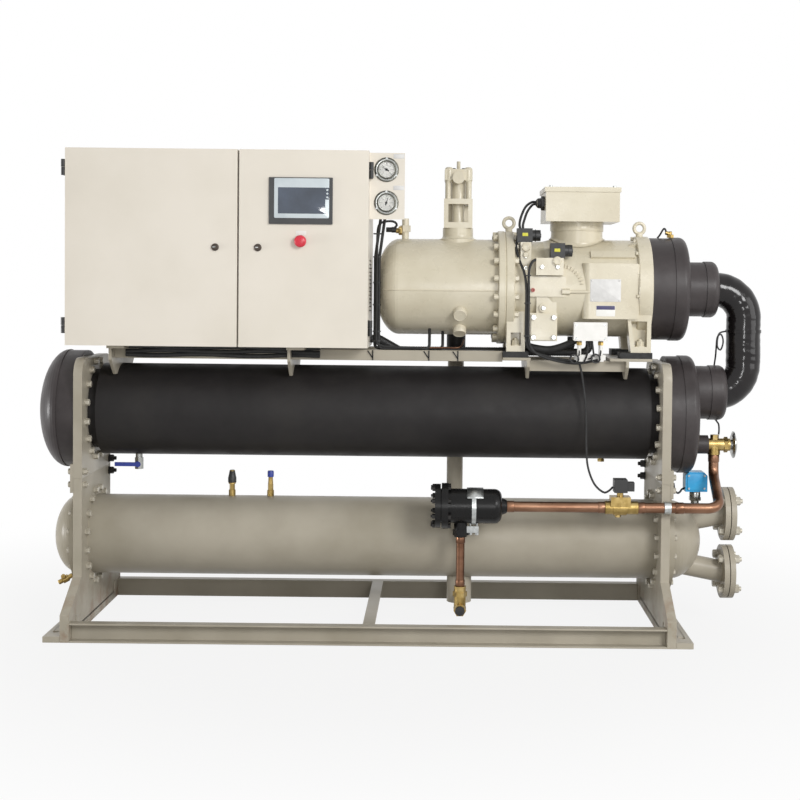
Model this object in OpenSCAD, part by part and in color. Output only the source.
// Water cooled screw chiller: two shell and tube vessels on end plates, with the compressor and the
// control cabinet above them. Origin on the floor, midway between the end plates. +X is to the right
// seen from the front, +Y to the back and +Z up. Millimetres.

/* [Frame] */
// Clear length between the end plates
tube_span = 1940; // [1700:10:2400]
// Thickness of the end plates
plate_t = 30; // [20:1:40]
// Width of the end plates beside the vessels
plate_w = 420; // [416:2:470]
// Depth of the base, from the front rail to the rear rail
base_w = 760; // [700:10:900]
// Height where the leg's flare ends
flare_low = 89; // [75:1:100]
// Height where the leg's flare starts
flare_high = 183; // [150:1:220]
// Height of the seam between lower and upper end plates
joint_z = 511; // [500:1:522]
// Height of the upper end plates
sheet_h = 403; // [395:1:440]
// Corner radius at the top of the upper end plates
sheet_corner = 60; // [20:5:90]
// Thickness of the splice plates across the seam
splice_t = 10; // [6:1:16]
// Width of the splice plates
splice_w = 44; // [36:1:50]
// Height of the splice plates
splice_h = 96; // [80:1:110]
// Height of the base channels
rail_h = 63; // [50:1:74]
// Flange width of the base channels
rail_flange = 40; // [30:1:60]
// Wall of the base channels
rail_t = 6; // [4:0.5:9]
// Leg length of the cross angle between the rails
cross_leg = 40; // [30:1:45]
// Width of the foot bars outside the legs
foot_w = 56; // [48:1:80]
// Thickness of the foot bars
foot_t = 20; // [12:1:25]
// Diameter of the anchor holes in the foot bars
foot_hole_d = 22; // [14:1:26]
// Distance of the anchor holes from the ends of the bars
foot_hole_inset = 70; // [40:5:120]
// Width of the lifting slots in the legs
slot_w = 16; // [10:1:24]
// Length of the lifting slots
slot_len = 42; // [30:1:50]
// Distance of the lifting slots from the middle of the legs
slot_y = 285; // [260:5:295]
// Height of the middle of the lifting slots
slot_z = 47; // [40:1:55]

/* [Evaporator] */
// Height of the evaporator's axis
evap_z = 731; // [726:1:736]
// Outer diameter of both steel shells
shell_d = 273; // [240:1:290]
// Outer diameter of the insulated evaporator
evap_d = 316; // [304:1:320]
// Bare length of shell at each end, beside the bolts
bare_len = 30; // [20:1:60]
// Diameter of the insulated end covers
cover_d = 408; // [390:1:412]
// Step between the two rings of each insulated cover
cover_step = 3; // [1:0.5:6]
// Length of the left cover's ring
left_ring = 62; // [40:1:90]
// Depth of the left cover's dome
left_dome = 90; // [50:1:110]
// Length of each of the right cover's two rings
right_ring = 50; // [40:1:70]
// Rounded edge of the insulation
foam_round = 22; // [8:1:26]
// Height of the suction drum above the evaporator's axis
evap_drum_up = 76; // [70:1:82]
// Diameter of the evaporator's suction drum
evap_drum_d = 190; // [170:1:196]
// Length of the evaporator's suction drum
evap_drum_len = 112; // [100:1:125]
// Outer diameter of the chilled water pipes and of the cooling water pipes
water_pipe_d = 76; // [60:1:84]
// Bore of the water pipes
water_bore_d = 68; // [50:1:70]
// Diameter of the water flanges
flange_d = 185; // [180:1:190]
// Thickness of the water flanges
flange_t = 18; // [14:1:22]
// Bolt circle of the water flanges
flange_pcd = 145; // [140:1:148]
// Bolt hole diameter in the water flanges
flange_hole_d = 18; // [12:1:20]
// Bolts in each water flange
flange_bolts = 4; // [4:4:8]
// Distance of the chilled water nozzles from the end plates
chilled_in = 270; // [190:10:400]
// Reach of the chilled water nozzles behind the evaporator's axis
chilled_reach = 300; // [270:5:360]

/* [Condenser] */
// Height of the condenser's axis
cond_z = 293; // [290:1:310]
// Diameter of the condenser's end cover flanges
cond_flange_d = 345; // [320:1:360]
// Thickness of the condenser's end cover flanges
cond_flange_t = 24; // [16:1:32]
// Depth of the condenser's left dome beyond its flange
cond_dome = 82; // [60:1:100]
// Depth of the water box's dome beyond its flange
box_dome = 112; // [90:1:130]
// Half the distance between the two cooling water flanges
nozzle_half = 101; // [97:1:106]
// Middle of the cooling water flanges below the condenser's axis
nozzle_down = 10; // [4:1:14]
// Splay of the cooling water pipes, in degrees
nozzle_splay = 11; // [6:1:13]
// Distance of the cooling water flange from the end plate
nozzle_reach = 210; // [195:1:235]
// Thickness of the flange gaskets
gasket_t = 3; // [2:0.5:5]
// Bore of the companion flanges
companion_bore_d = 77; // [72:1:90]
// Distance of the condenser's liquid outlet from the right end plate
outlet_in = 672; // [640:2:700]
// Diameter of the condenser's liquid sump
sump_d = 85; // [70:1:95]
// Lowest point of the sump
sump_low = 68; // [66:1:85]

/* [Liquid line] */
// Distance of the liquid line in front of the middle
line_y = 240; // [236:1:260]
// Height of the liquid line
line_z = 438; // [430:1:445]
// Diameter of the copper liquid line
line_d = 35; // [28:1:40]
// Diameter of the copper riser
riser_d = 28; // [22:1:35]
// Body diameter of the filter drier
drier_d = 115; // [100:1:125]
// Flange diameter of the filter drier
drier_flange_d = 152; // [140:1:160]
// Length of the filter drier's body beyond its flange
drier_len = 178; // [160:1:200]
// Distance of the solenoid valve's left end from the right end plate
solenoid_in = 193; // [170:1:230]
// Length of the solenoid valve
solenoid_len = 109; // [95:1:120]
// Height of the expansion valve below the evaporator's axis
txv_down = 99; // [85:1:105]
// Distance of the expansion valve in front of the middle
txv_y = 60; // [40:1:80]
// Distance of the expansion valve from the right cover
txv_out = 72; // [60:1:90]
// Half the length of the expansion valve's body
txv_half = 24; // [20:1:30]
// Diameter of the insulated liquid inlet
inlet_d = 64; // [50:1:70]
// Diameter of the expansion valve's power head
head_d = 92; // [70:1:100]

/* [Compressor] */
// Height of the compressor's axis
comp_z = 1165; // [1160:1:1180]
// Distance of the compressor's suction end behind the evaporator's suction drum
suction_lead = 33; // [20:1:45]
// Outer diameter of the oil separator
sep_d = 330; // [310:1:336]
// Length from the dome's tip to the separator's flange
sep_len = 421; // [400:1:430]
// Diameter of the two flanges between separator and rotor housing
joint_d = 390; // [376:1:396]
// Thickness of the separator's flange
sep_flange_t = 25; // [18:1:30]
// Thickness of the rotor housing's flange
rotor_flange_t = 29; // [24:1:32]
// Diameter of the rotor housing
rotor_d = 320; // [300:1:326]
// Length of the rotor housing beyond its flange
rotor_len = 128; // [124:1:135]
// Diameter of the motor housing
motor_d = 334; // [328:1:338]
// Length of the motor housing
motor_len = 290; // [286:1:300]
// Diameter of the motor's end flange
motor_flange_d = 362; // [350:1:366]
// Thickness of the motor's end flange
motor_flange_t = 48; // [40:1:55]
// Diameter of the insulated suction cap
cap_d = 358; // [350:1:360]
// Length of the insulated suction cap
cap_len = 128; // [115:1:140]
// Diameter of the insulated suction drum
drum_d = 194; // [180:1:200]
// Length of the insulated suction drum
drum_len = 113; // [100:1:125]
// Outer diameter of the insulated suction pipe
suction_d = 118; // [100:1:124]
// Bend radius of the suction pipe
suction_bend = 98; // [92:1:110]
// Height of the compressor's feet above the floor
foot_z = 950; // [945:1:955]
// Half the distance between the front and rear compressor feet
comp_foot_y = 128; // [118:1:140]
// Width of the terminal box
box_w = 250; // [230:1:256]
// Depth of the terminal box
box_depth = 260; // [220:1:280]
// Height of the terminal box
box_h = 116; // [90:1:130]
// Underside of the terminal box above the compressor's axis
box_up = 226; // [215:1:240]
// Outer diameter of the discharge pipe
discharge_d = 58; // [42:1:62]
// Distance of the discharge pipe behind the middle
discharge_y = 204; // [202:1:215]
// Bend radius of the discharge pipe
discharge_bend = 60; // [50:1:64]

/* [Saddles] */
// Thickness of the saddle plates
saddle_t = 10; // [6:1:14]
// Distance of the cabinet's left saddle from its left side
cab_saddle_in_left = 136; // [100:1:200]
// Distance of the cabinet's right saddle from its right side
cab_saddle_in_right = 266; // [180:1:300]
// Thickness of the rubber pads under the compressor
pad_t = 20; // [10:1:22]
// Thickness of the saddles' top plates
seat_t = 10; // [6:1:12]
// Leg length of the long angles between the saddles
tie_leg = 36; // [25:1:38]

/* [Cabinet] */
// Overhang of the cabinet past the left tubes
cab_over = 48; // [30:1:80]
// Gap between the cabinet and the oil separator
comp_gap = 14; // [10:1:40]
// Height of the cabinet
cab_h = 652; // [620:1:680]
// Depth of the cabinet behind its doors
cab_depth = 300; // [260:5:340]
// Underside of the cabinet
cab_z = 960; // [957:1:966]
// Front of the doors, in front of the middle
door_front = 250; // [248:1:262]
// Thickness of the doors
door_t = 20; // [16:1:24]
// Sheet thickness of the cabinet and doors
sheet_metal = 2.5; // [1.5:0.5:4]
// Gap between the doors, and behind them
door_gap = 6; // [5:0.5:8]
// Width of the right door
right_door_w = 427; // [390:1:460]
// Width of the cabinet's middle post
post_w = 60; // [40:1:80]
// Width of the touch panel
panel_w = 210; // [190:1:220]
// Height of the touch panel
panel_h = 154; // [140:1:160]
// Distance of the touch panel's middle from the cabinet's right side
panel_in = 223; // [215:1:240]
// Height of the touch panel's middle above the cabinet's floor
panel_up = 484; // [460:1:500]
// Diameter of the stop button
stop_d = 40; // [30:1:44]
// Height of the stop button above the cabinet's floor
stop_up = 351; // [330:1:365]
// Travel of the stop button
stop_travel = 5; // [3:0.5:6]
// Diameter of the door locks
lock_d = 23; // [16:1:28]
// Width of the gauge panel
gauge_panel_w = 117; // [105:1:118]
// Height of the gauge panel
gauge_panel_h = 221; // [205:1:230]
// Diameter of the pressure gauges
gauge_d = 82; // [70:1:86]
// Distance between the two gauges
gauge_pitch = 110; // [100:1:116]
// Radius of the hinge barrels
hinge_r = 7; // [6:0.5:8]
// Radius of the hinge pins
hinge_pin_r = 3; // [2:0.5:4]
// Height of each half of a hinge
hinge_h = 26; // [20:1:32]

/* [Small valves] */
// Distance of the drain valve from the left end plate
drain_in = 148; // [120:1:190]
// Length of the drain valve's lever
lever_len = 80; // [60:1:90]
// Distance of the condenser's service valve from the left end plate
service_in = 473; // [440:1:500]
// Distance of the condenser's purge valve from the left end plate
purge_in = 607; // [580:1:640]

/* [Hidden] */
$fn = 64;
// Clearance at a curved seat, and at a hinge pin
seat_gap = 0.3;
pin_gap = 0.05;
end_x = tube_span / 2;
plate_out = end_x + plate_t;
half_base = base_w / 2;
half_plate = plate_w / 2;
sheet_top = joint_z + sheet_h;
shell_r = shell_d / 2;
evap_r = evap_d / 2;
cover_r = cover_d / 2;
cover_end = plate_out + 2 * right_ring;
evap_drum_z = evap_z + evap_drum_up;
evap_drum_end = cover_end + evap_drum_len;
flange_x = plate_out + nozzle_reach;
companion_x = flange_x + flange_t + gasket_t;
cond_dome_x = plate_out + cond_flange_t;
suction_x = evap_drum_end - suction_lead;
drum_x = suction_x - drum_len;
cap_x = drum_x - cap_len;
motor_flange_x = cap_x - motor_flange_t;
motor_x = motor_flange_x - motor_len;
rotor_body_x = motor_x - rotor_len;
rotor_x = rotor_body_x - rotor_flange_t;
sep_flange_x = rotor_x - sep_flange_t;
comp_x = sep_flange_x - sep_len;
suction_drop_x = suction_x + suction_bend;
chilled_x = end_x - chilled_in;
outlet_x = end_x - outlet_in;
solenoid_x = end_x - solenoid_in;
drain_x = drain_in - end_x;
service_x = service_in - end_x;
purge_x = purge_in - end_x;
cab_x = -end_x - cab_over;
cab_right = comp_x - comp_gap;
cab_w = cab_right - cab_x;
left_door_w = cab_w - right_door_w - door_gap;
cab_saddle_left = cab_x + cab_saddle_in_left;
cab_saddle_right = cab_right - cab_saddle_in_right;
door_back = door_front - door_t;
cab_front = door_back - door_gap;
cab_back = cab_front - cab_depth;
split_x = cab_x + left_door_w;
hinge_axis_y = -(door_front - door_t / 2);
hinge_out = hinge_r + 1;
dv_x = comp_x + 284;
seat_top = foot_z - pad_t;
saddle_top = seat_top - seat_t;
cab_saddle_top = cab_z - seat_t;
comp_saddle_left = rotor_x + 78;
comp_saddle_right = motor_flange_x - 35;
box_x = motor_x - 24;
terminal_x = box_x + 117;
terminal_d = 178;
block_x = rotor_body_x + 70;
block_w = 92;
block_out = 20;
block_up = 101;
pilot_up = 154;
slide_in = 50;
slide_w = 122;
slide_low = 29;
slide_high = 39;
slide_out = 8;
rod_d = 11;
rod_down = 12;
rod_nut = 26;
rod_x = rotor_body_x + slide_in + slide_w - rod_nut / 2;
pad_in = 100;
pad_out = 4;
pad_low = 102;
pad_high = 85;
pad_round = 24;
edge_cut = 3;
eye_d = 50;
comp_foot_w = 60;
gland_len = 26;
stub_in = 102;
sight_low = 58;
sight_high = 31;
txv_x = cover_end + txv_out;
txv_z = evap_z - txv_down;
txv_len = 76;
drain_z = evap_z - evap_r - 35;
valve_z = 96;

cream = "#e3ddcd";
beige = "#cfc7b0";
grey = "#a29d90";
foam = "#2b2a2a";

// Placing helpers: the child's z axis points along +X, along +Y, or to the front
module along_x() rotate([0, 90, 0]) children();
module along_y() rotate([-90, 0, 0]) children();
module to_front() rotate([90, 0, 0]) children();

// A profile drawn in Y and Z, drawn out along +X
module profile_yz(length) rotate([90, 0, 90]) linear_extrude(length) children();

// A disc of revolution whose far edge is rounded
module rounded_disc(r, h, edge) rotate_extrude() {
    square([r, h - edge]);
    square([r - edge, h]);
    translate([r - edge, h - edge]) intersection() {
        circle(edge);
        square(edge);
    }
}

// A disc of revolution with both edges chamfered
module chamfered_disc(d, h, cut) rotate_extrude() polygon([
    [0, 0], [d / 2 - cut, 0], [d / 2, cut], [d / 2, h - cut], [d / 2 - cut, h], [0, h]
]);

// A round neck that flares, in a hollow curve, where it leaves the casting below
module neck(d, h, skirt, flare, steps = 6) rotate_extrude() polygon(concat(
    [[0, 0], [d / 2 + flare, 0]],
    [for (i = [0:steps]) let(t = 90 * i / steps)
        [d / 2 + flare * (1 - sin(t)), skirt + flare * (1 - cos(t))]],
    [[d / 2, h], [0, h]]
));

// A dished end: half an ellipse turned about z, on a straight skirt
module dished_end(r, skirt, depth, steps = 14) rotate_extrude()
    polygon(concat(
        [[0, 0], [r, 0], [r, skirt]],
        [for (i = [1:steps]) [r * cos(90 * i / steps), skirt + depth * sin(90 * i / steps)]]
    ));

// A slot with round ends, standing upright
module upright_slot(width, length) {
    square([width, length - width], center = true);
    for (s = [-1, 1]) translate([0, s * (length - width) / 2]) circle(d = width);
}

// Points along a path whose corners are rounded with one radius
function unit(v) = v / norm(v);
function corner(a, b, c, r, steps) =
    let(u = unit(a - b), v = unit(c - b), half = acos(u * v) / 2, reach = r / tan(half),
        middle = b + unit(u + v) * r / sin(half), p = b + u * reach - middle,
        q = b + v * reach - middle, turn = acos(min(1, (p * q) / (r * r))))
    [for (i = [0:steps]) middle + (p * sin(turn * (1 - i / steps)) + q * sin(turn * i / steps)) / sin(turn)];
function round_path(pts, r, steps = 6) = concat(
    [pts[0]],
    [for (i = [1:len(pts) - 2]) each corner(pts[i - 1], pts[i], pts[i + 1], r, steps)],
    [pts[len(pts) - 1]]
);

// A tube swept along points: each ring is square to the path, and turns as little as it can
function path_dir(p, i) = unit(p[min(i + 1, len(p) - 1)] - p[max(i - 1, 0)]);
function ring_side(p, i, before) = let(t = path_dir(p, i)) unit(before - t * (before * t));
function ring_sides(p, i, before) = i == len(p) ? [] :
    let(n = ring_side(p, i, before)) concat([n], ring_sides(p, i + 1, n));
module swept_tube(p, r, sides = 12, first_side = [0, 0.3, 1]) {
    normals = ring_sides(p, 0, first_side);
    last = len(p) - 1;
    points = [for (i = [0:last]) let(t = path_dir(p, i), n = normals[i], b = cross(t, n))
        for (k = [0:sides - 1]) p[i] + r * (n * cos(360 * k / sides) + b * sin(360 * k / sides))];
    walls = [for (i = [0:last - 1], k = [0:sides - 1]) let(m = (k + 1) % sides)
        [i * sides + k, (i + 1) * sides + k, (i + 1) * sides + m, i * sides + m]];
    ends = [[for (k = [0:sides - 1]) k], [for (k = [sides - 1:-1:0]) last * sides + k]];
    polyhedron(points, concat(walls, ends), convexity = 6);
}

// Base frame
module channel_profile() difference() {
    square([rail_flange, rail_h]);
    translate([-1, rail_t]) square([rail_flange - rail_t + 1, rail_h - 2 * rail_t]);
}
module base_rail() translate([-end_x, -half_base, 0]) profile_yz(tube_span) channel_profile();
module base_rails() color(grey) for (s = [0, 1]) mirror([0, s, 0]) base_rail();

module base_cross_bar() color(grey)
    translate([-cross_leg / 2, half_base - rail_flange, rail_h - cross_leg]) to_front()
        linear_extrude(base_w - 2 * rail_flange) difference() {
            square(cross_leg);
            translate([rail_t, -1]) square([cross_leg, cross_leg - rail_t + 1]);
        }

module plate_outline() polygon([
    [-half_base, 0], [half_base, 0], [half_base, flare_low], [half_plate, flare_high],
    [half_plate, joint_z], [-half_plate, joint_z], [-half_plate, flare_high], [-half_base, flare_low]
]);
module leg_plate() profile_yz(plate_t) difference() {
    plate_outline();
    for (s = [-1, 1]) translate([s * slot_y, slot_z]) upright_slot(slot_w, slot_len);
}
module leg_plates() color(grey) for (x = [-plate_out, end_x]) translate([x, 0, 0]) leg_plate();

module foot_bars() color(grey) for (s = [-1, 1]) difference() {
    translate([s > 0 ? plate_out : -plate_out - foot_w, -half_base, 0]) cube([foot_w, base_w, foot_t]);
    for (t = [-1, 1]) translate([s * (plate_out + foot_w / 2), t * (half_base - foot_hole_inset), -1])
        cylinder(d = foot_hole_d, h = foot_t + 2);
}

module tube_sheet() profile_yz(plate_t) translate([0, joint_z]) {
    translate([-half_plate, 0]) square([plate_w, sheet_h - sheet_corner]);
    translate([-half_plate + sheet_corner, 0]) square([plate_w - 2 * sheet_corner, sheet_h]);
    for (s = [-1, 1]) translate([s * (half_plate - sheet_corner), sheet_h - sheet_corner])
        circle(sheet_corner);
}
module tube_sheets() color(grey) for (x = [-plate_out, end_x]) translate([x, 0, 0]) tube_sheet();

// Plates across the seam, outside each corner of the end plates
module splice_plates() color(grey) for (s = [-1, 1], t = [-1, 1])
    translate([s > 0 ? plate_out : -plate_out - splice_t, t * (half_plate - splice_w / 2) - splice_w / 2,
        joint_z - splice_h / 2]) cube([splice_t, splice_w, splice_h]);

// Evaporator, wrapped in black foam
module evaporator_shell() color(foam) translate([-end_x, 0, evap_z]) along_x() {
    cylinder(d = shell_d, h = tube_span);
    translate([0, 0, bare_len]) cylinder(d = evap_d, h = tube_span - 2 * bare_len);
}
module evaporator_left_cover() color(foam)
    translate([-plate_out, 0, evap_z]) rotate([0, -90, 0]) {
        cylinder(r = cover_r - cover_step, h = left_ring);
        translate([0, 0, left_ring]) dished_end(cover_r, 0, left_dome);
    }
// The right cover carries the suction drum above, and the liquid inlet below
module evaporator_right_cover() color(foam) {
    translate([plate_out, 0, evap_z]) along_x() {
        cylinder(r = cover_r - cover_step, h = right_ring);
        translate([0, 0, right_ring]) rounded_disc(cover_r, right_ring, foam_round);
    }
    translate([cover_end, 0, evap_drum_z]) along_x() {
        cylinder(d = evap_drum_d - 2 * cover_step, h = evap_drum_len / 2);
        translate([0, 0, evap_drum_len / 2]) rounded_disc(evap_drum_d / 2, evap_drum_len / 2, foam_round);
    }
    translate([cover_end, -txv_y, txv_z]) along_x() cylinder(d = inlet_d, h = txv_out - txv_half);
}

// A round flange with its bolt holes
module water_flange(bore) difference() {
    cylinder(d = flange_d, h = flange_t);
    translate([0, 0, -1]) cylinder(d = bore, h = flange_t + 2);
    for (i = [0:flange_bolts - 1]) rotate(45 + 360 * i / flange_bolts)
        translate([flange_pcd / 2, 0, -1]) cylinder(d = flange_hole_d, h = flange_t + 2);
}
// Two nozzles on the back of the evaporator, cut to its round side
module chilled_water_nozzles() color(grey) for (s = [-1, 1])
    translate([s * chilled_x, 0, evap_z]) difference() {
        along_y() {
            difference() {
                cylinder(d = water_pipe_d, h = chilled_reach - flange_t);
                translate([0, 0, -1]) cylinder(d = water_bore_d, h = chilled_reach);
            }
            translate([0, 0, chilled_reach - flange_t]) water_flange(water_bore_d);
        }
        translate([-flange_d / 2, 0, 0]) along_x() cylinder(r = evap_r + seat_gap, h = flange_d);
    }

// Insulated suction pipe from the evaporator's drum up to the compressor
module suction_pipe() color(foam) difference() {
    union() {
        translate([suction_x, 0, comp_z - suction_bend]) to_front() rotate(0)
            rotate_extrude(angle = 90) translate([suction_bend, 0]) circle(d = suction_d);
        translate([suction_drop_x, 0, evap_drum_z + suction_bend])
            cylinder(d = suction_d, h = comp_z - evap_drum_z - 2 * suction_bend);
        translate([suction_x, 0, evap_drum_z + suction_bend]) to_front() rotate(-90)
            rotate_extrude(angle = 90) translate([suction_bend, 0]) circle(d = suction_d);
    }
    translate([evap_drum_end - suction_d * 2, -suction_d, evap_drum_z - suction_d])
        cube([suction_d * 2, 2 * suction_d, 2 * suction_d]);
}

// Insulated suction end of the compressor: a cap, then a drum
module compressor_suction_end() color(foam) translate([cap_x, 0, comp_z]) along_x() {
    cylinder(d = cap_d - 2 * cover_step, h = cap_len * 0.6);
    translate([0, 0, cap_len * 0.6]) rounded_disc(cap_d / 2, cap_len * 0.4, foam_round);
    translate([0, 0, cap_len]) {
        cylinder(d = drum_d - 2 * cover_step, h = drum_len * 0.6);
        translate([0, 0, drum_len * 0.6]) rounded_disc(drum_d / 2, drum_len * 0.4, foam_round);
    }
}

// Condenser
module condenser_shell() color(grey) translate([-end_x, 0, cond_z]) along_x()
    cylinder(d = shell_d, h = tube_span);
module cond_cover(dome) {
    cylinder(d = cond_flange_d, h = cond_flange_t);
    translate([0, 0, cond_flange_t]) dished_end(shell_r, 0, dome);
}
module condenser_left_cover() color(grey)
    translate([-plate_out, 0, cond_z]) rotate([0, -90, 0]) cond_cover(cond_dome);

// Height of the upper (1) or lower (-1) cooling water flange
function nozzle_z(side) = cond_z - nozzle_down + side * nozzle_half;
// One cooling water pipe, splayed up or down, cut square where its flange sits
module cooling_pipe(side, d) intersection() {
    translate([flange_x, 0, nozzle_z(side)]) rotate([0, 90 - side * nozzle_splay, 0])
        translate([0, 0, -nozzle_reach]) cylinder(d = d, h = 2 * nozzle_reach);
    translate([cond_dome_x, -flange_d, 0]) cube([flange_x - cond_dome_x, 2 * flange_d, 2 * cond_z]);
}
module condenser_water_box() color(grey) difference() {
    union() {
        translate([plate_out, 0, cond_z]) along_x() cond_cover(box_dome);
        for (side = [-1, 1]) {
            cooling_pipe(side, water_pipe_d);
            translate([flange_x, 0, nozzle_z(side)]) along_x() water_flange(water_bore_d);
        }
    }
    for (side = [-1, 1]) cooling_pipe(side, water_bore_d - 4);
}
module flange_gaskets() color("#1b1b1b") for (side = [-1, 1])
    translate([flange_x + flange_t, 0, nozzle_z(side)]) along_x() difference() {
        cylinder(d = flange_pcd - flange_hole_d - 2, h = gasket_t);
        translate([0, 0, -1]) cylinder(d = companion_bore_d + 4, h = gasket_t + 2);
    }
module companion_flanges() color(grey) for (side = [-1, 1])
    translate([companion_x, 0, nozzle_z(side)]) along_x() water_flange(companion_bore_d);

// Liquid outlet: a sump under the condenser, with a valve in front of it
module condenser_sump() color(grey) difference() {
    union() {
        translate([outlet_x, 0, sump_low]) cylinder(d = sump_d, h = cond_z - sump_low);
        translate([outlet_x, 0, valve_z]) to_front() cylinder(d = riser_d, h = line_y - riser_d);
    }
    translate([outlet_x - sump_d, 0, cond_z]) along_x() cylinder(r = shell_r + seat_gap, h = 2 * sump_d);
}
module outlet_valve() color("#9c8a63") translate([outlet_x, -line_y, valve_z]) {
    cylinder(d = riser_d + 12, h = 74);
    translate([0, 0, 40]) cylinder(d = riser_d + 20, h = 16, $fn = 6);
    translate([0, riser_d, 0]) to_front() cylinder(d = riser_d + 8, h = 2 * riser_d);
    translate([0, -riser_d, 0]) to_front() cylinder(d = riser_d + 14, h = 14, $fn = 6);
    sphere(d = riser_d + 14);
}

// Filter drier: flanged shell lying along the line, fed from below
drier_x = outlet_x - 42;
drier_flange_t = 22;
module filter_drier() color("#1d1d1d") translate([drier_x, -line_y, line_z]) {
    along_x() {
        translate([0, 0, -2 * drier_flange_t]) cylinder(d = drier_flange_d - 6, h = drier_flange_t - 3);
        translate([0, 0, -drier_flange_t - 6]) cylinder(d = drier_d, h = 8);
        translate([0, 0, -drier_flange_t]) cylinder(d = drier_flange_d, h = drier_flange_t);
        cylinder(d = drier_d, h = drier_len - 40);
        translate([0, 0, drier_len - 40]) rounded_disc(drier_d / 2, 40, 24);
        translate([0, 0, drier_len]) cylinder(d1 = line_d + 22, d2 = line_d + 10, h = 16);
    }
    translate([outlet_x - drier_x, 0, -drier_d / 2 - 44]) {
        cylinder(d = riser_d + 16, h = 60);
        translate([0, 0, 4]) cylinder(d = riser_d + 24, h = 20, $fn = 6);
    }
}
line_start = drier_x + drier_len + 16;

// Copper liquid line: a straight run to the solenoid valve, then on past the end plate and up
line_end = [txv_x - 2, -txv_y, txv_z - 34];
module liquid_line() color("#b8764f") {
    translate([outlet_x, -line_y, valve_z + 74])
        cylinder(d = riser_d, h = line_z - drier_d / 2 - 44 - valve_z - 74);
    translate([line_start, -line_y, line_z]) along_x() cylinder(d = line_d, h = solenoid_x - line_start);
    swept_tube(round_path([
        [solenoid_x + solenoid_len, -line_y, line_z], [txv_x - 12, -line_y, line_z],
        line_end - [0, 0, 70], line_end
    ], 46, 7), line_d / 2, 24);
}

// Strap round the drier with its bracket to the condenser, and the clip on the right end plate
clip_w = 22;
strap_w = 14;
strap_x = drier_x + 78;
module pipe_clamps() color("#b9bcbc") {
    difference() {
        union() {
            translate([strap_x, -line_y, line_z]) along_x() cylinder(d = drier_d + 8, h = strap_w);
            translate([strap_x, -line_y, cond_z + shell_r - 32]) cube([strap_w, line_y - 60, 24]);
        }
        translate([strap_x - 1, -line_y, line_z]) along_x()
            cylinder(d = drier_d + 2 * seat_gap, h = strap_w + 2);
        translate([strap_x - 1, 0, cond_z]) along_x() cylinder(r = shell_r + seat_gap, h = strap_w + 2);
    }
    difference() {
        translate([end_x + 4, -line_y, line_z]) union() {
            along_x() cylinder(d = line_d + 8, h = clip_w);
            translate([0, 0, -10]) cube([clip_w, line_y - half_plate, 20]);
        }
        translate([end_x, -line_y, line_z]) along_x() cylinder(d = line_d + 2 * seat_gap, h = plate_t);
    }
}

module solenoid_valve() color("#b8963f") translate([solenoid_x, -line_y, line_z]) {
    along_x() {
        cylinder(d = line_d + 9, h = solenoid_len);
        translate([0, 0, solenoid_len * 0.25]) cylinder(d = line_d + 16, h = solenoid_len * 0.4);
    }
    translate([solenoid_len * 0.16, -27, 6]) cube([solenoid_len * 0.6, 54, 32]);
    translate([solenoid_len * 0.46, 0, 38]) cylinder(d = 22, h = 14);
    translate([solenoid_len * 0.4, 0, -line_d / 2 - 14]) cylinder(d = 20, h = 20, $fn = 6);
}
module solenoid_coil() color("#202124")
    translate([solenoid_x + solenoid_len * 0.46, 0, line_z + 52]) translate([-22, -line_y - 26, 0]) {
        cube([44, 52, 44]);
        translate([44, 10, 4]) cube([24, 32, 30]);
    }

// Expansion valve on the right cover, with its round power head
module expansion_valve() color("#b8963f") translate([txv_x, -txv_y, txv_z]) {
    translate([-txv_half, 0, 0]) along_x() cylinder(d = line_d + 8, h = txv_len);
    translate([-2, 0, -34]) cylinder(d = line_d + 8, h = 34);
    cylinder(d = 30, h = 34, $fn = 6);
    translate([txv_len - txv_half - 20, 0, 0]) along_x() cylinder(d = line_d + 19, h = 12, $fn = 6);
}
module expansion_head() color("#a9acac") translate([txv_x + txv_len - txv_half, -txv_y, txv_z]) along_x() {
    cylinder(d = 34, h = 6);
    translate([0, 0, 6]) cylinder(d1 = head_d - 24, d2 = head_d, h = 5);
    translate([0, 0, 11]) cylinder(d = head_d, h = 3);
    translate([0, 0, 14]) cylinder(d1 = head_d, d2 = head_d - 40, h = 7);
}

// Flow switch standing on the upper cooling water pipe
switch_x = flange_x - 92;
switch_up = 170;
switch_w = 76;
switch_h = 68;
switch_cut = 12;
module flow_switch() color("#2a86b8") translate([switch_x, 0, cond_z]) difference() {
    union() {
        cylinder(d = 26, h = switch_up);
        translate([0, 0, switch_up - 24]) cylinder(d = 34, h = 22, $fn = 6);
        translate([-switch_w / 2, 30, switch_up]) to_front() linear_extrude(60) polygon([
            [0, 0], [switch_w, 0], [switch_w, switch_h - switch_cut], [switch_w - switch_cut, switch_h],
            [switch_cut, switch_h], [0, switch_h - switch_cut]
        ]);
    }
    translate([-switch_x, 0, -cond_z]) cooling_pipe(1, water_pipe_d + 2 * seat_gap);
    translate([0, 0, -1])
        cylinder(d = 40, h = nozzle_z(1) - cond_z - (flange_x - switch_x) * tan(nozzle_splay));
}

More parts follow.
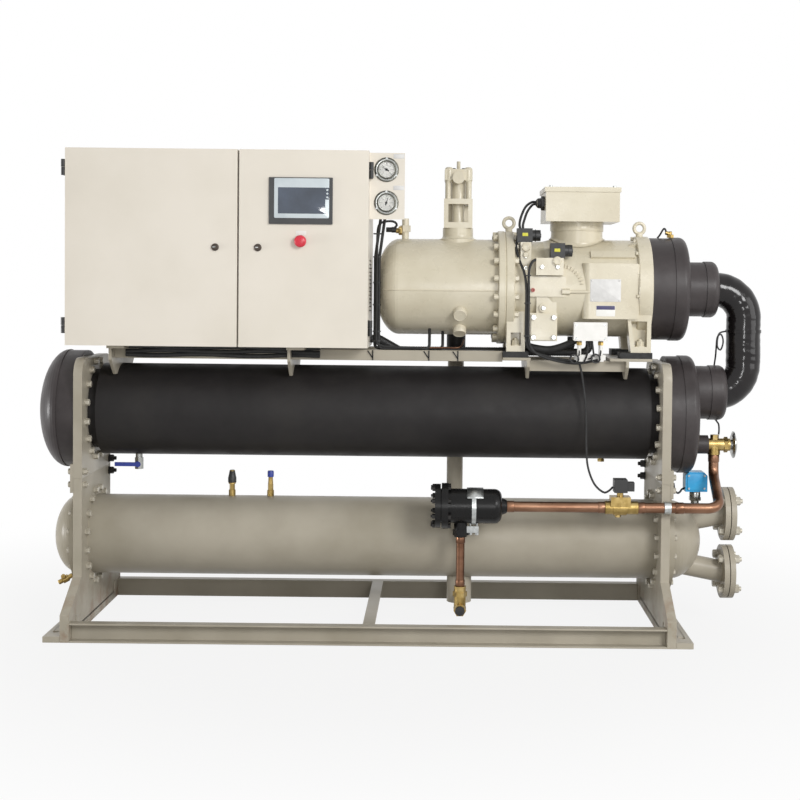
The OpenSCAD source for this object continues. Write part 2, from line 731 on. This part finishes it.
// Saddles on the evaporator, under the cabinet and under the compressor
module saddle_outline(top, reach, skirt) difference() {
    polygon([
        [-reach, top], [reach, top], [reach, top - skirt], [evap_r * 0.76, evap_z + evap_r * 0.8],
        [-evap_r * 0.76, evap_z + evap_r * 0.8], [-reach, top - skirt]
    ]);
    translate([0, evap_z]) circle(r = evap_r + seat_gap);
}
module saddle(x, top, reach, skirt) translate([x - saddle_t / 2, 0, 0])
    profile_yz(saddle_t) saddle_outline(top, reach, skirt);
saddle_reach = half_plate - 20;
seat_reach = comp_foot_y + 42;
seat_in = 8;
seat_len = 94;
rear_seat_in = 60;
module vessel_saddles() color(grey) {
    for (x = [cab_saddle_left, cab_saddle_right]) {
        saddle(x, cab_saddle_top, saddle_reach, 40);
        translate([x - saddle_t / 2, -cab_front, cab_saddle_top])
            cube([60, cab_front + saddle_reach, seat_t]);
    }
    saddle(comp_saddle_left, saddle_top, seat_reach, 20);
    translate([rotor_x - seat_in, -seat_reach, saddle_top]) cube([seat_len, 2 * seat_reach, seat_t]);
    saddle(comp_saddle_right, saddle_top, seat_reach, 20);
    translate([comp_saddle_right - rear_seat_in, -seat_reach, saddle_top])
        cube([cap_x - comp_saddle_right + rear_seat_in, 2 * seat_reach, seat_t]);
}
// Long angles that tie the saddles together
tie_y = 120;
tie_t = 5;
module tie(from, to, top) for (s = [-1, 1])
    translate([from, s * tie_y - tie_leg / 2, top - tie_leg]) profile_yz(to - from) difference() {
        square(tie_leg);
        translate([tie_t, -1]) square([tie_leg, tie_leg - tie_t + 1]);
    }
module tie_angles() color(grey) {
    tie(cab_saddle_left + saddle_t / 2, cab_saddle_right - saddle_t / 2, cab_saddle_top);
    tie(cab_saddle_right + saddle_t / 2, rotor_x - seat_in, cab_saddle_top);
    tie(comp_saddle_left + saddle_t / 2, comp_saddle_right - saddle_t / 2, saddle_top);
}
module compressor_pads() color("#1f1f1f") for (s = [-1, 1]) {
    translate([rotor_x - seat_in, s * comp_foot_y - 40, seat_top]) cube([86, 80, pad_t]);
    translate([motor_flange_x - 60, s * comp_foot_y - 40, seat_top]) cube([60 + motor_flange_t, 80, pad_t]);
}

// Screw compressor: the oil separator with its sight glasses, relief stub and valve neck
sight_d = 44;
stub_d = 24;
neck_d = 105;
neck_h = 38;
neck_flare = 12;
module oil_separator() color(beige) translate([0, 0, comp_z]) {
    translate([sep_flange_x, 0, 0]) rotate([0, -90, 0]) {
        dished_end(sep_d / 2, sep_len - sep_d / 4, sep_d / 4);
        translate([0, 0, -sep_flange_t]) chamfered_disc(joint_d, sep_flange_t, edge_cut);
    }
    for (turn = [sight_low, sight_high]) translate([dv_x + 8, 0, 0]) rotate([90 + turn, 0, 0])
        translate([0, 0, sep_d / 2 - 12]) {
            cylinder(d = sight_d, h = 26);
            cylinder(d = sight_d * 0.7, h = 34, $fn = 6);
        }
    translate([comp_x + stub_in, 0, sep_d / 2 - 20]) {
        cylinder(d = stub_d, h = 90);
        translate([0, 0, 44]) cylinder(d = stub_d + 12, h = 22, $fn = 6);
    }
    translate([dv_x, 0, sep_d / 2 - 20]) neck(neck_d, 20 + neck_h, 20, neck_flare);
}

// A lifting eye that stands on z = 0
module lifting_eye() {
    cylinder(d = 24, h = eye_d * 0.25);
    translate([0, 0, eye_d * 0.6]) to_front() rotate_extrude()
        translate([eye_d * 0.36, 0]) circle(d = eye_d * 0.24);
}

// A foot on the front and on the back, leaning out to the left, with a pocket for its bolt
foot_wall = 14;
foot_floor = 20;
module comp_foot(x, w, top, lean, pocket) for (s = [0, 1]) mirror([0, s, 0])
    translate([x, comp_foot_w / 2 - comp_foot_y, foot_z]) difference() {
        to_front() linear_extrude(comp_foot_w)
            polygon([[0, 0], [w, 0], [w, top - foot_z], [-lean, top - foot_z]]);
        translate([0, -comp_foot_w * 0.3, 0]) to_front() linear_extrude(comp_foot_w) polygon([
            [foot_wall, foot_floor], [w - foot_wall, foot_floor], [w - foot_wall, foot_floor + pocket],
            [foot_wall - lean, foot_floor + pocket]
        ]);
    }

// Front of the casting: the slide valve's housing and rod, the valve block and the bolted cover plate
cover_w = 92;
cover_plate_h = 94;
cover_down = 178;
cover_out = 12;
cover_rim = 4;
boss_d = 28;
module front_boss(x, z, reach) translate([x, 0, comp_z + z]) to_front() cylinder(d = boss_d, h = reach);
module valve_side() {
    translate([rotor_body_x + slide_in, -rotor_d / 2 - slide_out, comp_z - slide_low])
        cube([slide_w, rotor_d / 4, slide_low + slide_high]);
    translate([rotor_body_x + slide_in + 24, -rotor_d / 2, comp_z - cover_down + cover_plate_h - 10])
        cube([cover_w - 24, rotor_d / 4, cover_down - cover_plate_h + 10]);
    translate([rod_x, -rotor_d / 2 - slide_out, comp_z - rod_down]) along_x() {
        cylinder(d = 2 * rod_d, h = rod_nut, $fn = 6);
        cylinder(d = rod_d, h = motor_x + pad_in + pad_round - rod_x);
    }
    translate([rotor_body_x + slide_in + 2, 0, comp_z - cover_down]) {
        translate([0, -rotor_d / 2 - cover_out, 0]) cube([cover_w, rotor_d / 3, cover_plate_h]);
        translate([cover_rim, -rotor_d / 2 - cover_out - 10, cover_rim])
            cube([cover_w - 2 * cover_rim, 20, cover_plate_h - 2 * cover_rim]);
    }
    front_boss(rotor_body_x + 31, -108, 142);
    front_boss(rotor_body_x + 97, -67, rotor_d / 2 + 10);
    translate([block_x, -motor_d / 2 - block_out, comp_z + slide_high + 4])
        cube([block_w, 100, block_up - slide_high - 4]);
    translate([rotor_body_x + 20, -rotor_d / 2 + 20, comp_z + slide_high])
        cube([36, 90, pilot_up - slide_high]);
}

// Motor end: the nameplate's pad with a round left edge, a ridge above it, the terminal neck and gussets
module motor_side() {
    translate([motor_x + pad_in + pad_round, -motor_d / 2 - pad_out, comp_z - pad_low]) {
        cube([motor_len - pad_in - pad_round - 5, motor_d / 4, pad_low + pad_high]);
        translate([0, pad_round, 0]) cylinder(r = pad_round, h = pad_low + pad_high);
    }
    translate([motor_x + 130, 0, comp_z]) rotate([48, 0, 0]) translate([0, -14, motor_d / 2 - 10])
        cube([motor_len - 140, 28, 18]);
    translate([terminal_x, 0, comp_z]) {
        cylinder(d = terminal_d, h = box_up);
        translate([0, 0, box_up - 16]) cylinder(d = terminal_d + 6, h = 16);
    }
    for (turn = [20, 62, 118, 160, 200, 340]) translate([motor_flange_x - 34, 0, comp_z]) rotate([turn, 0, 0])
        translate([0, motor_d / 2 - 20, -6]) linear_extrude(12)
            polygon([[0, 0], [36, 0], [36, motor_flange_d / 2 - motor_d / 2 + 18], [0, 18]]);
}

// One casting: the rotor housing at the left, the motor housing at the right
module compressor_casing() color(beige) {
    translate([rotor_x, 0, comp_z]) along_x() {
        chamfered_disc(joint_d, rotor_flange_t, edge_cut);
        cylinder(d = rotor_d, h = rotor_flange_t + rotor_len);
        translate([0, 0, motor_x - rotor_x - 30]) cylinder(d1 = rotor_d - 2, d2 = motor_d, h = 30);
        translate([0, 0, motor_x - rotor_x]) cylinder(d = motor_d, h = motor_len);
        translate([0, 0, motor_flange_x - rotor_x]) chamfered_disc(motor_flange_d, motor_flange_t, edge_cut);
    }
    comp_foot(rotor_x + 4, 62, comp_z - rotor_d / 4, 0, 44);
    comp_foot(motor_flange_x - 24, 68, comp_z - motor_d / 4, 14, 86);
    valve_side();
    motor_side();
    translate([rotor_x + rotor_flange_t / 2, 0, comp_z + joint_d / 2 - 2]) lifting_eye();
    translate([motor_flange_x + 20, 0, comp_z + motor_flange_d / 2 - 2]) lifting_eye();
}

// Terminal box with an overhanging lid, and the cable gland on its left side
lid_h = 16;
gland_z = box_h * 0.55;
module terminal_box() color(beige)
    translate([box_x, -box_depth / 2, comp_z + box_up]) {
        cube([box_w, box_depth, box_h - lid_h]);
        translate([-4, -4, box_h - lid_h]) cube([box_w + 8, box_depth + 8, lid_h]);
        translate([-gland_len, box_depth * 0.3, gland_z]) along_x() cylinder(d = 30, h = gland_len);
        translate([-10, box_depth * 0.3, gland_z]) along_x() cylinder(d = 38, h = 10, $fn = 6);
    }

// Two coils: a block on its valve, with a round end at the right
module coil(w, d, h) {
    cube([w, d, h]);
    translate([w, d / 2, h / 2]) along_x() cylinder(d = h * 0.8, h = w * 0.54);
}
module capacity_coils() color("#242424") {
    translate([rotor_body_x + 8, -rotor_d / 2 + 22, comp_z + pilot_up]) coil(52, 56, 47);
    translate([block_x + 48, -motor_d / 2 - block_out, comp_z + block_up]) coil(48, block_out + 34, 50);
}

// Discharge stop valve: a caged lower body, a bolted bonnet on pillars, and the pipe down to the condenser
dv_z = comp_z + sep_d / 2 + neck_h;
dv_w = 98;
dv_seat = 20;
dv_mid = 82;
dv_cap = 164;
dv_h = 202;
dv_post = 15;
dv_pillar = 19;
dv_side = 52;
boss_up = 172;
outlet_z = dv_z + boss_up;
// A square flange in the middle of its stack
module square_flange(w, z, t) translate([-w / 2, -w / 2, z]) cube([w, w, t]);
module discharge_valve() color(beige) translate([dv_x, 0, dv_z]) {
    square_flange(dv_w, 0, dv_seat);
    square_flange(dv_w, dv_mid, dv_seat - 2);
    square_flange(dv_w - 4, dv_cap, dv_h - dv_cap);
    cylinder(d = dv_w * 0.42, h = dv_mid);
    translate([0, 0, dv_mid]) cylinder(d = dv_w * 0.55, h = dv_cap - dv_mid);
    for (sx = [-1, 1], sy = [-1, 1]) {
        translate([sx * (dv_w - dv_post) / 2 - dv_post / 2, sy * (dv_w - dv_post) / 2 - dv_post / 2, 0])
            cube([dv_post, dv_post, dv_mid]);
        translate([sx * (dv_w / 2 - 13), sy * (dv_w / 2 - 13), dv_mid])
            cylinder(d = dv_pillar, h = dv_cap - dv_mid);
    }
    translate([0, dv_side, boss_up]) to_front() cylinder(d = 42, h = 2 * dv_side + 8);
    translate([0, 0, dv_h]) cylinder(d = 13, h = 29);
}
pipe_low = cond_z + 30;
module discharge_pipe() color(grey) difference() {
    union() {
        translate([dv_x, dv_side, outlet_z]) along_y()
            cylinder(d = discharge_d, h = discharge_y - discharge_bend - dv_side);
        translate([dv_x, discharge_y - discharge_bend, outlet_z - discharge_bend]) rotate([90, 0, 90])
            rotate_extrude(angle = 90) translate([discharge_bend, 0]) circle(d = discharge_d);
        translate([dv_x, discharge_y, pipe_low + discharge_bend])
            cylinder(d = discharge_d, h = outlet_z - pipe_low - 2 * discharge_bend);
        translate([dv_x, discharge_y - discharge_bend, pipe_low + discharge_bend]) rotate([90, 0, 90])
            rotate(-90) rotate_extrude(angle = 90) translate([discharge_bend, 0]) circle(d = discharge_d);
        translate([dv_x, 0, pipe_low]) along_y() cylinder(d = discharge_d, h = discharge_y - discharge_bend);
    }
    translate([dv_x - discharge_d, 0, cond_z]) along_x()
        cylinder(r = shell_r + seat_gap, h = 2 * discharge_d);
}

// Control cabinet
louvre_rows = 14;
module cabinet_sides() color(cream) {
    translate([cab_x, -cab_front, cab_z]) cube([sheet_metal, cab_depth, cab_h]);
    translate([cab_right - sheet_metal, -cab_front, cab_z]) difference() {
        cube([sheet_metal, cab_depth, cab_h]);
        for (i = [0:louvre_rows - 1]) translate([-1, 70, 120 + 13 * i]) cube([sheet_metal + 2, 150, 4]);
    }
}
module cabinet_back() color(cream)
    translate([cab_x + sheet_metal, -cab_back - sheet_metal, cab_z + sheet_metal])
        cube([cab_w - 2 * sheet_metal, sheet_metal, cab_h - 2 * sheet_metal]);
module cabinet_roof_and_floor() color(cream) for (z = [cab_z, cab_z + cab_h - sheet_metal])
    translate([cab_x + sheet_metal, -cab_front, z]) cube([cab_w - 2 * sheet_metal, cab_depth, sheet_metal]);
module cabinet_post() color(cream)
    translate([split_x + door_gap / 2 - post_w / 2, -cab_front, cab_z + sheet_metal])
        cube([post_w, 20, cab_h - 2 * sheet_metal]);
plate_edge = 40;
module mounting_plate() color("#c4c6c4")
    translate([cab_x + plate_edge, -cab_back - sheet_metal - 22, cab_z + plate_edge]) {
        cube([cab_w - 2 * plate_edge, 3, cab_h - 2 * plate_edge]);
        for (x = [30, cab_w - 2 * plate_edge - 30], z = [30, cab_h - 2 * plate_edge - 30])
            translate([x, 22, z]) to_front() cylinder(d = 16, h = 19);
    }

// A door is a pan: a front sheet with its edges turned back
module door_pan(w) difference() {
    cube([w, door_t, cab_h]);
    translate([sheet_metal, sheet_metal, sheet_metal])
        cube([w - 2 * sheet_metal, door_t, cab_h - 2 * sheet_metal]);
}
lock_z = 329;
module lock_boss() to_front() {
    cylinder(d = lock_d, h = 5);
    translate([0, 0, -door_t]) cylinder(d = lock_d - 5, h = door_t + 2);
}
hinge_zs = [66, cab_h - 64];
// The door's half of a hinge has a bore, and sits above the half with the pin
module door_hinge(side) for (z = hinge_zs) translate([0, 0, z + 0.5]) difference() {
    union() {
        cylinder(r = hinge_r, h = hinge_h);
        translate([side > 0 ? -hinge_out : 0, -3, 0]) cube([hinge_out, 6, hinge_h]);
    }
    translate([0, 0, -1]) cylinder(r = hinge_pin_r + pin_gap, h = hinge_h + 2);
}
left_hinge_x = cab_x - hinge_out;
right_hinge_x = cab_right + hinge_out;
module left_door() color(cream) {
    translate([cab_x, -door_front, cab_z]) {
        door_pan(left_door_w);
        translate([left_door_w - 72, 0, lock_z]) lock_boss();
    }
    translate([left_hinge_x, hinge_axis_y, cab_z]) door_hinge(-1);
}
door_x = cab_right - right_door_w;
panel_cut_w = panel_w - 18;
panel_cut_h = panel_h - 16;
panel_x = cab_right - panel_in;
panel_z = cab_z + panel_up;
panel_gap = 1;
stop_hole_d = 22.5;
module right_door() color(cream) {
    translate([door_x, -door_front, cab_z]) difference() {
        union() {
            door_pan(right_door_w);
            translate([63, 0, lock_z]) lock_boss();
        }
        translate([panel_x - door_x - panel_cut_w / 2 - panel_gap, -1, panel_up - panel_cut_h / 2 - panel_gap])
            cube([panel_cut_w + 2 * panel_gap, door_t, panel_cut_h + 2 * panel_gap]);
        translate([panel_x - door_x, -1, stop_up]) along_y() cylinder(d = stop_hole_d, h = door_t);
    }
    translate([right_hinge_x, hinge_axis_y, cab_z]) door_hinge(1);
}
module hinge_pins() color("#2a2a2a") for (s = [-1, 1], z = hinge_zs)
    translate([s > 0 ? right_hinge_x : left_hinge_x, hinge_axis_y, cab_z + z - hinge_h - 0.5]) {
        cylinder(r = hinge_r, h = hinge_h);
        cylinder(r = hinge_pin_r, h = 2 * hinge_h);
        translate([-3, 0, 0]) cube([6, door_t / 2 + door_gap + 30, hinge_h]);
        translate([s > 0 ? -hinge_out : 3, door_t / 2 + door_gap + 4, 0]) cube([hinge_out - 3, 26, hinge_h]);
    }
module touch_panel() color("#3a3a3a") {
    translate([panel_x - panel_w / 2, -door_front - 7, panel_z - panel_h / 2]) cube([panel_w, 7, panel_h]);
    translate([panel_x - panel_cut_w / 2, -door_front, panel_z - panel_cut_h / 2])
        cube([panel_cut_w, 42, panel_cut_h]);
}
module stop_button() color("#c8283a") translate([panel_x, -door_front, cab_z + stop_up]) to_front() {
    translate([0, 0, -door_t]) cylinder(d = stop_hole_d - 1, h = door_t + stop_travel + 6);
    translate([0, 0, stop_travel + 5]) rounded_disc(stop_d / 2, 16, 7);
}

// Gauge panel beside the cabinet
gauge_y = 186;
gauge_top = cab_z + cab_h - 2;
gauge_x = cab_right + 56;
function gauge_z(i) = gauge_top - 56 - i * gauge_pitch;
module gauge_panel() color(cream) {
    translate([cab_right, -gauge_y, gauge_top - gauge_panel_h]) difference() {
        cube([gauge_panel_w, sheet_metal, gauge_panel_h]);
        for (i = [0, 1]) translate([gauge_x - cab_right, -1, gauge_z(i) - gauge_top + gauge_panel_h]) along_y()
            cylinder(d = gauge_d - 12, h = sheet_metal + 2);
    }
    translate([cab_right, -gauge_y, gauge_top - gauge_panel_h]) cube([sheet_metal, 40, gauge_panel_h]);
}
gauge_back = 32;
module pressure_gauges() color("#8c8c88") for (i = [0, 1])
    translate([gauge_x, -gauge_y, gauge_z(i)]) to_front() {
        rounded_disc(gauge_d / 2, 12, 3);
        translate([0, 0, -gauge_back]) cylinder(d = gauge_d - 14, h = gauge_back + 1);
    }

// Small valves
module drain_valve() color("#b5a06a") translate([drain_x, 0, 0]) difference() {
    union() {
        translate([0, 0, drain_z - 18]) cylinder(d = 24, h = evap_z - drain_z);
        translate([0, 0, drain_z - 18]) cylinder(d = 30, h = 40, $fn = 8);
        translate([0, 0, drain_z]) to_front() cylinder(d = 14, h = 22);
    }
    translate([-40, 0, evap_z]) along_x() cylinder(r = evap_r + seat_gap, h = 80);
}
lever_t = 4;
module drain_lever() color("#2b3f8c") translate([drain_x, -22.4 - lever_t, drain_z]) {
    along_y() cylinder(d = 20, h = lever_t);
    translate([-lever_len, 0, -7]) cube([lever_len - 6, lever_t, 14]);
}
module service_stub(x, cap_d, cap_h) translate([x, 0, 0]) difference() {
    union() {
        translate([0, 0, cond_z]) cylinder(d = 24, h = shell_r + 20);
        translate([0, 0, cond_z + shell_r + 20]) cylinder(d = 19, h = 22, $fn = 6);
        translate([0, 0, cond_z + shell_r + 42]) cylinder(d1 = cap_d, d2 = cap_d * 0.72, h = cap_h);
    }
    translate([-40, 0, cond_z]) along_x() cylinder(r = shell_r + seat_gap, h = 80);
}
module service_valves() color("#b5a06a") {
    service_stub(service_x, 26, 46);
    service_stub(purge_x, 18, 42);
}

// Pressure switch in front of the motor, on a bracket from the front tie angle
switch_z = comp_z - 175;
press_x = motor_x + 70;
press_y = comp_foot_y + 72;
press_w = 112;
press_h = 62;
bracket_t = 5;
bracket_w = press_w - 20;
module pressure_switch() color("#eeeeec") translate([press_x, 0, 0]) {
    translate([0, -press_y, switch_z]) cube([press_w, 40, press_h]);
    for (x = [20, press_w - 20]) translate([x, 20 - press_y, saddle_top + 20])
        cylinder(d = 14, h = switch_z - saddle_top - 20);
    translate([4, 8 - press_y, saddle_top + bracket_t]) cube([press_w - 8, 24, 18]);
    translate([10, 8 - press_y, saddle_top]) cube([bracket_w, press_y - tie_y, bracket_t]);
}

// Gauge lines down the cabinet's side and along the tie angle to the separator
line_tube_r = 5;
lines_y = -116;
lines_z = cab_saddle_top + line_tube_r + seat_gap;
module gauge_lines() color("#181818") for (i = [0, 1]) let(x = comp_x + 235 - 45 * i, y = lines_y - 14 * i)
    swept_tube(round_path([
        [gauge_x, gauge_back - gauge_y, gauge_z(i)], [gauge_x, gauge_back + 24 - gauge_y, gauge_z(i)],
        [cab_right + 18 + 14 * i, gauge_back + 24 - gauge_y, cab_z + 300],
        [cab_right + 18 + 14 * i, y, lines_z],
        [x, y, lines_z], [x, y, comp_z - sqrt(pow(sep_d / 2, 2) - pow(y + line_tube_r, 2)) - 1]
    ], 20, 5), line_tube_r, 10);

// Two black conduits from the cabinet's side, under the separator, up to the motor
conduit_r = 14;
conduit_z = seat_top + conduit_r + 1;
conduit_pitch = 34;
module power_conduits() color("#161616")
    for (i = [0, 1]) let(y = -30 - conduit_pitch * i, x = motor_x + 76 + 60 * i)
        swept_tube(round_path([
            [cab_right + seat_gap, y, cab_z + 24], [cab_right + 30, y, cab_z + 24],
            [cab_right + 100, y, conduit_z], [x, y, conduit_z],
            [x, y, comp_z - sqrt(pow(motor_d / 2, 2) - pow(y + conduit_r, 2)) - 1]
        ], 12 + conduit_r, 5), conduit_r, 12);

// Lead of the solenoid coil, hanging in front of the evaporator
lead_r = 3.5;
lead_points = [
    [690, -176, 919], [700, -178, 880], [711, -186, 800], [716, -192, 720], [717, -196, 640],
    [722, -206, 570],
    [742, -222, 515], [772, -236, 488], [790, -240, 494], [803, -240, 507]
];
module solenoid_lead() color("#161616") swept_tube(lead_points, lead_r, 8);

base_rails();
base_cross_bar();
leg_plates();
foot_bars();
tube_sheets();
splice_plates();
evaporator_shell();
evaporator_left_cover();
evaporator_right_cover();
chilled_water_nozzles();
suction_pipe();
compressor_suction_end();
condenser_shell();
condenser_left_cover();
condenser_water_box();
flange_gaskets();
companion_flanges();
condenser_sump();
outlet_valve();
filter_drier();
pipe_clamps();
liquid_line();
solenoid_valve();
solenoid_coil();
expansion_valve();
expansion_head();
flow_switch();
vessel_saddles();
tie_angles();
compressor_pads();
oil_separator();
compressor_casing();
terminal_box();
capacity_coils();
discharge_valve();
discharge_pipe();
cabinet_sides();
cabinet_back();
cabinet_roof_and_floor();
cabinet_post();
mounting_plate();
left_door();
right_door();
hinge_pins();
touch_panel();
stop_button();
gauge_panel();
pressure_gauges();
drain_valve();
drain_lever();
service_valves();
pressure_switch();
gauge_lines();
power_conduits();
solenoid_lead();
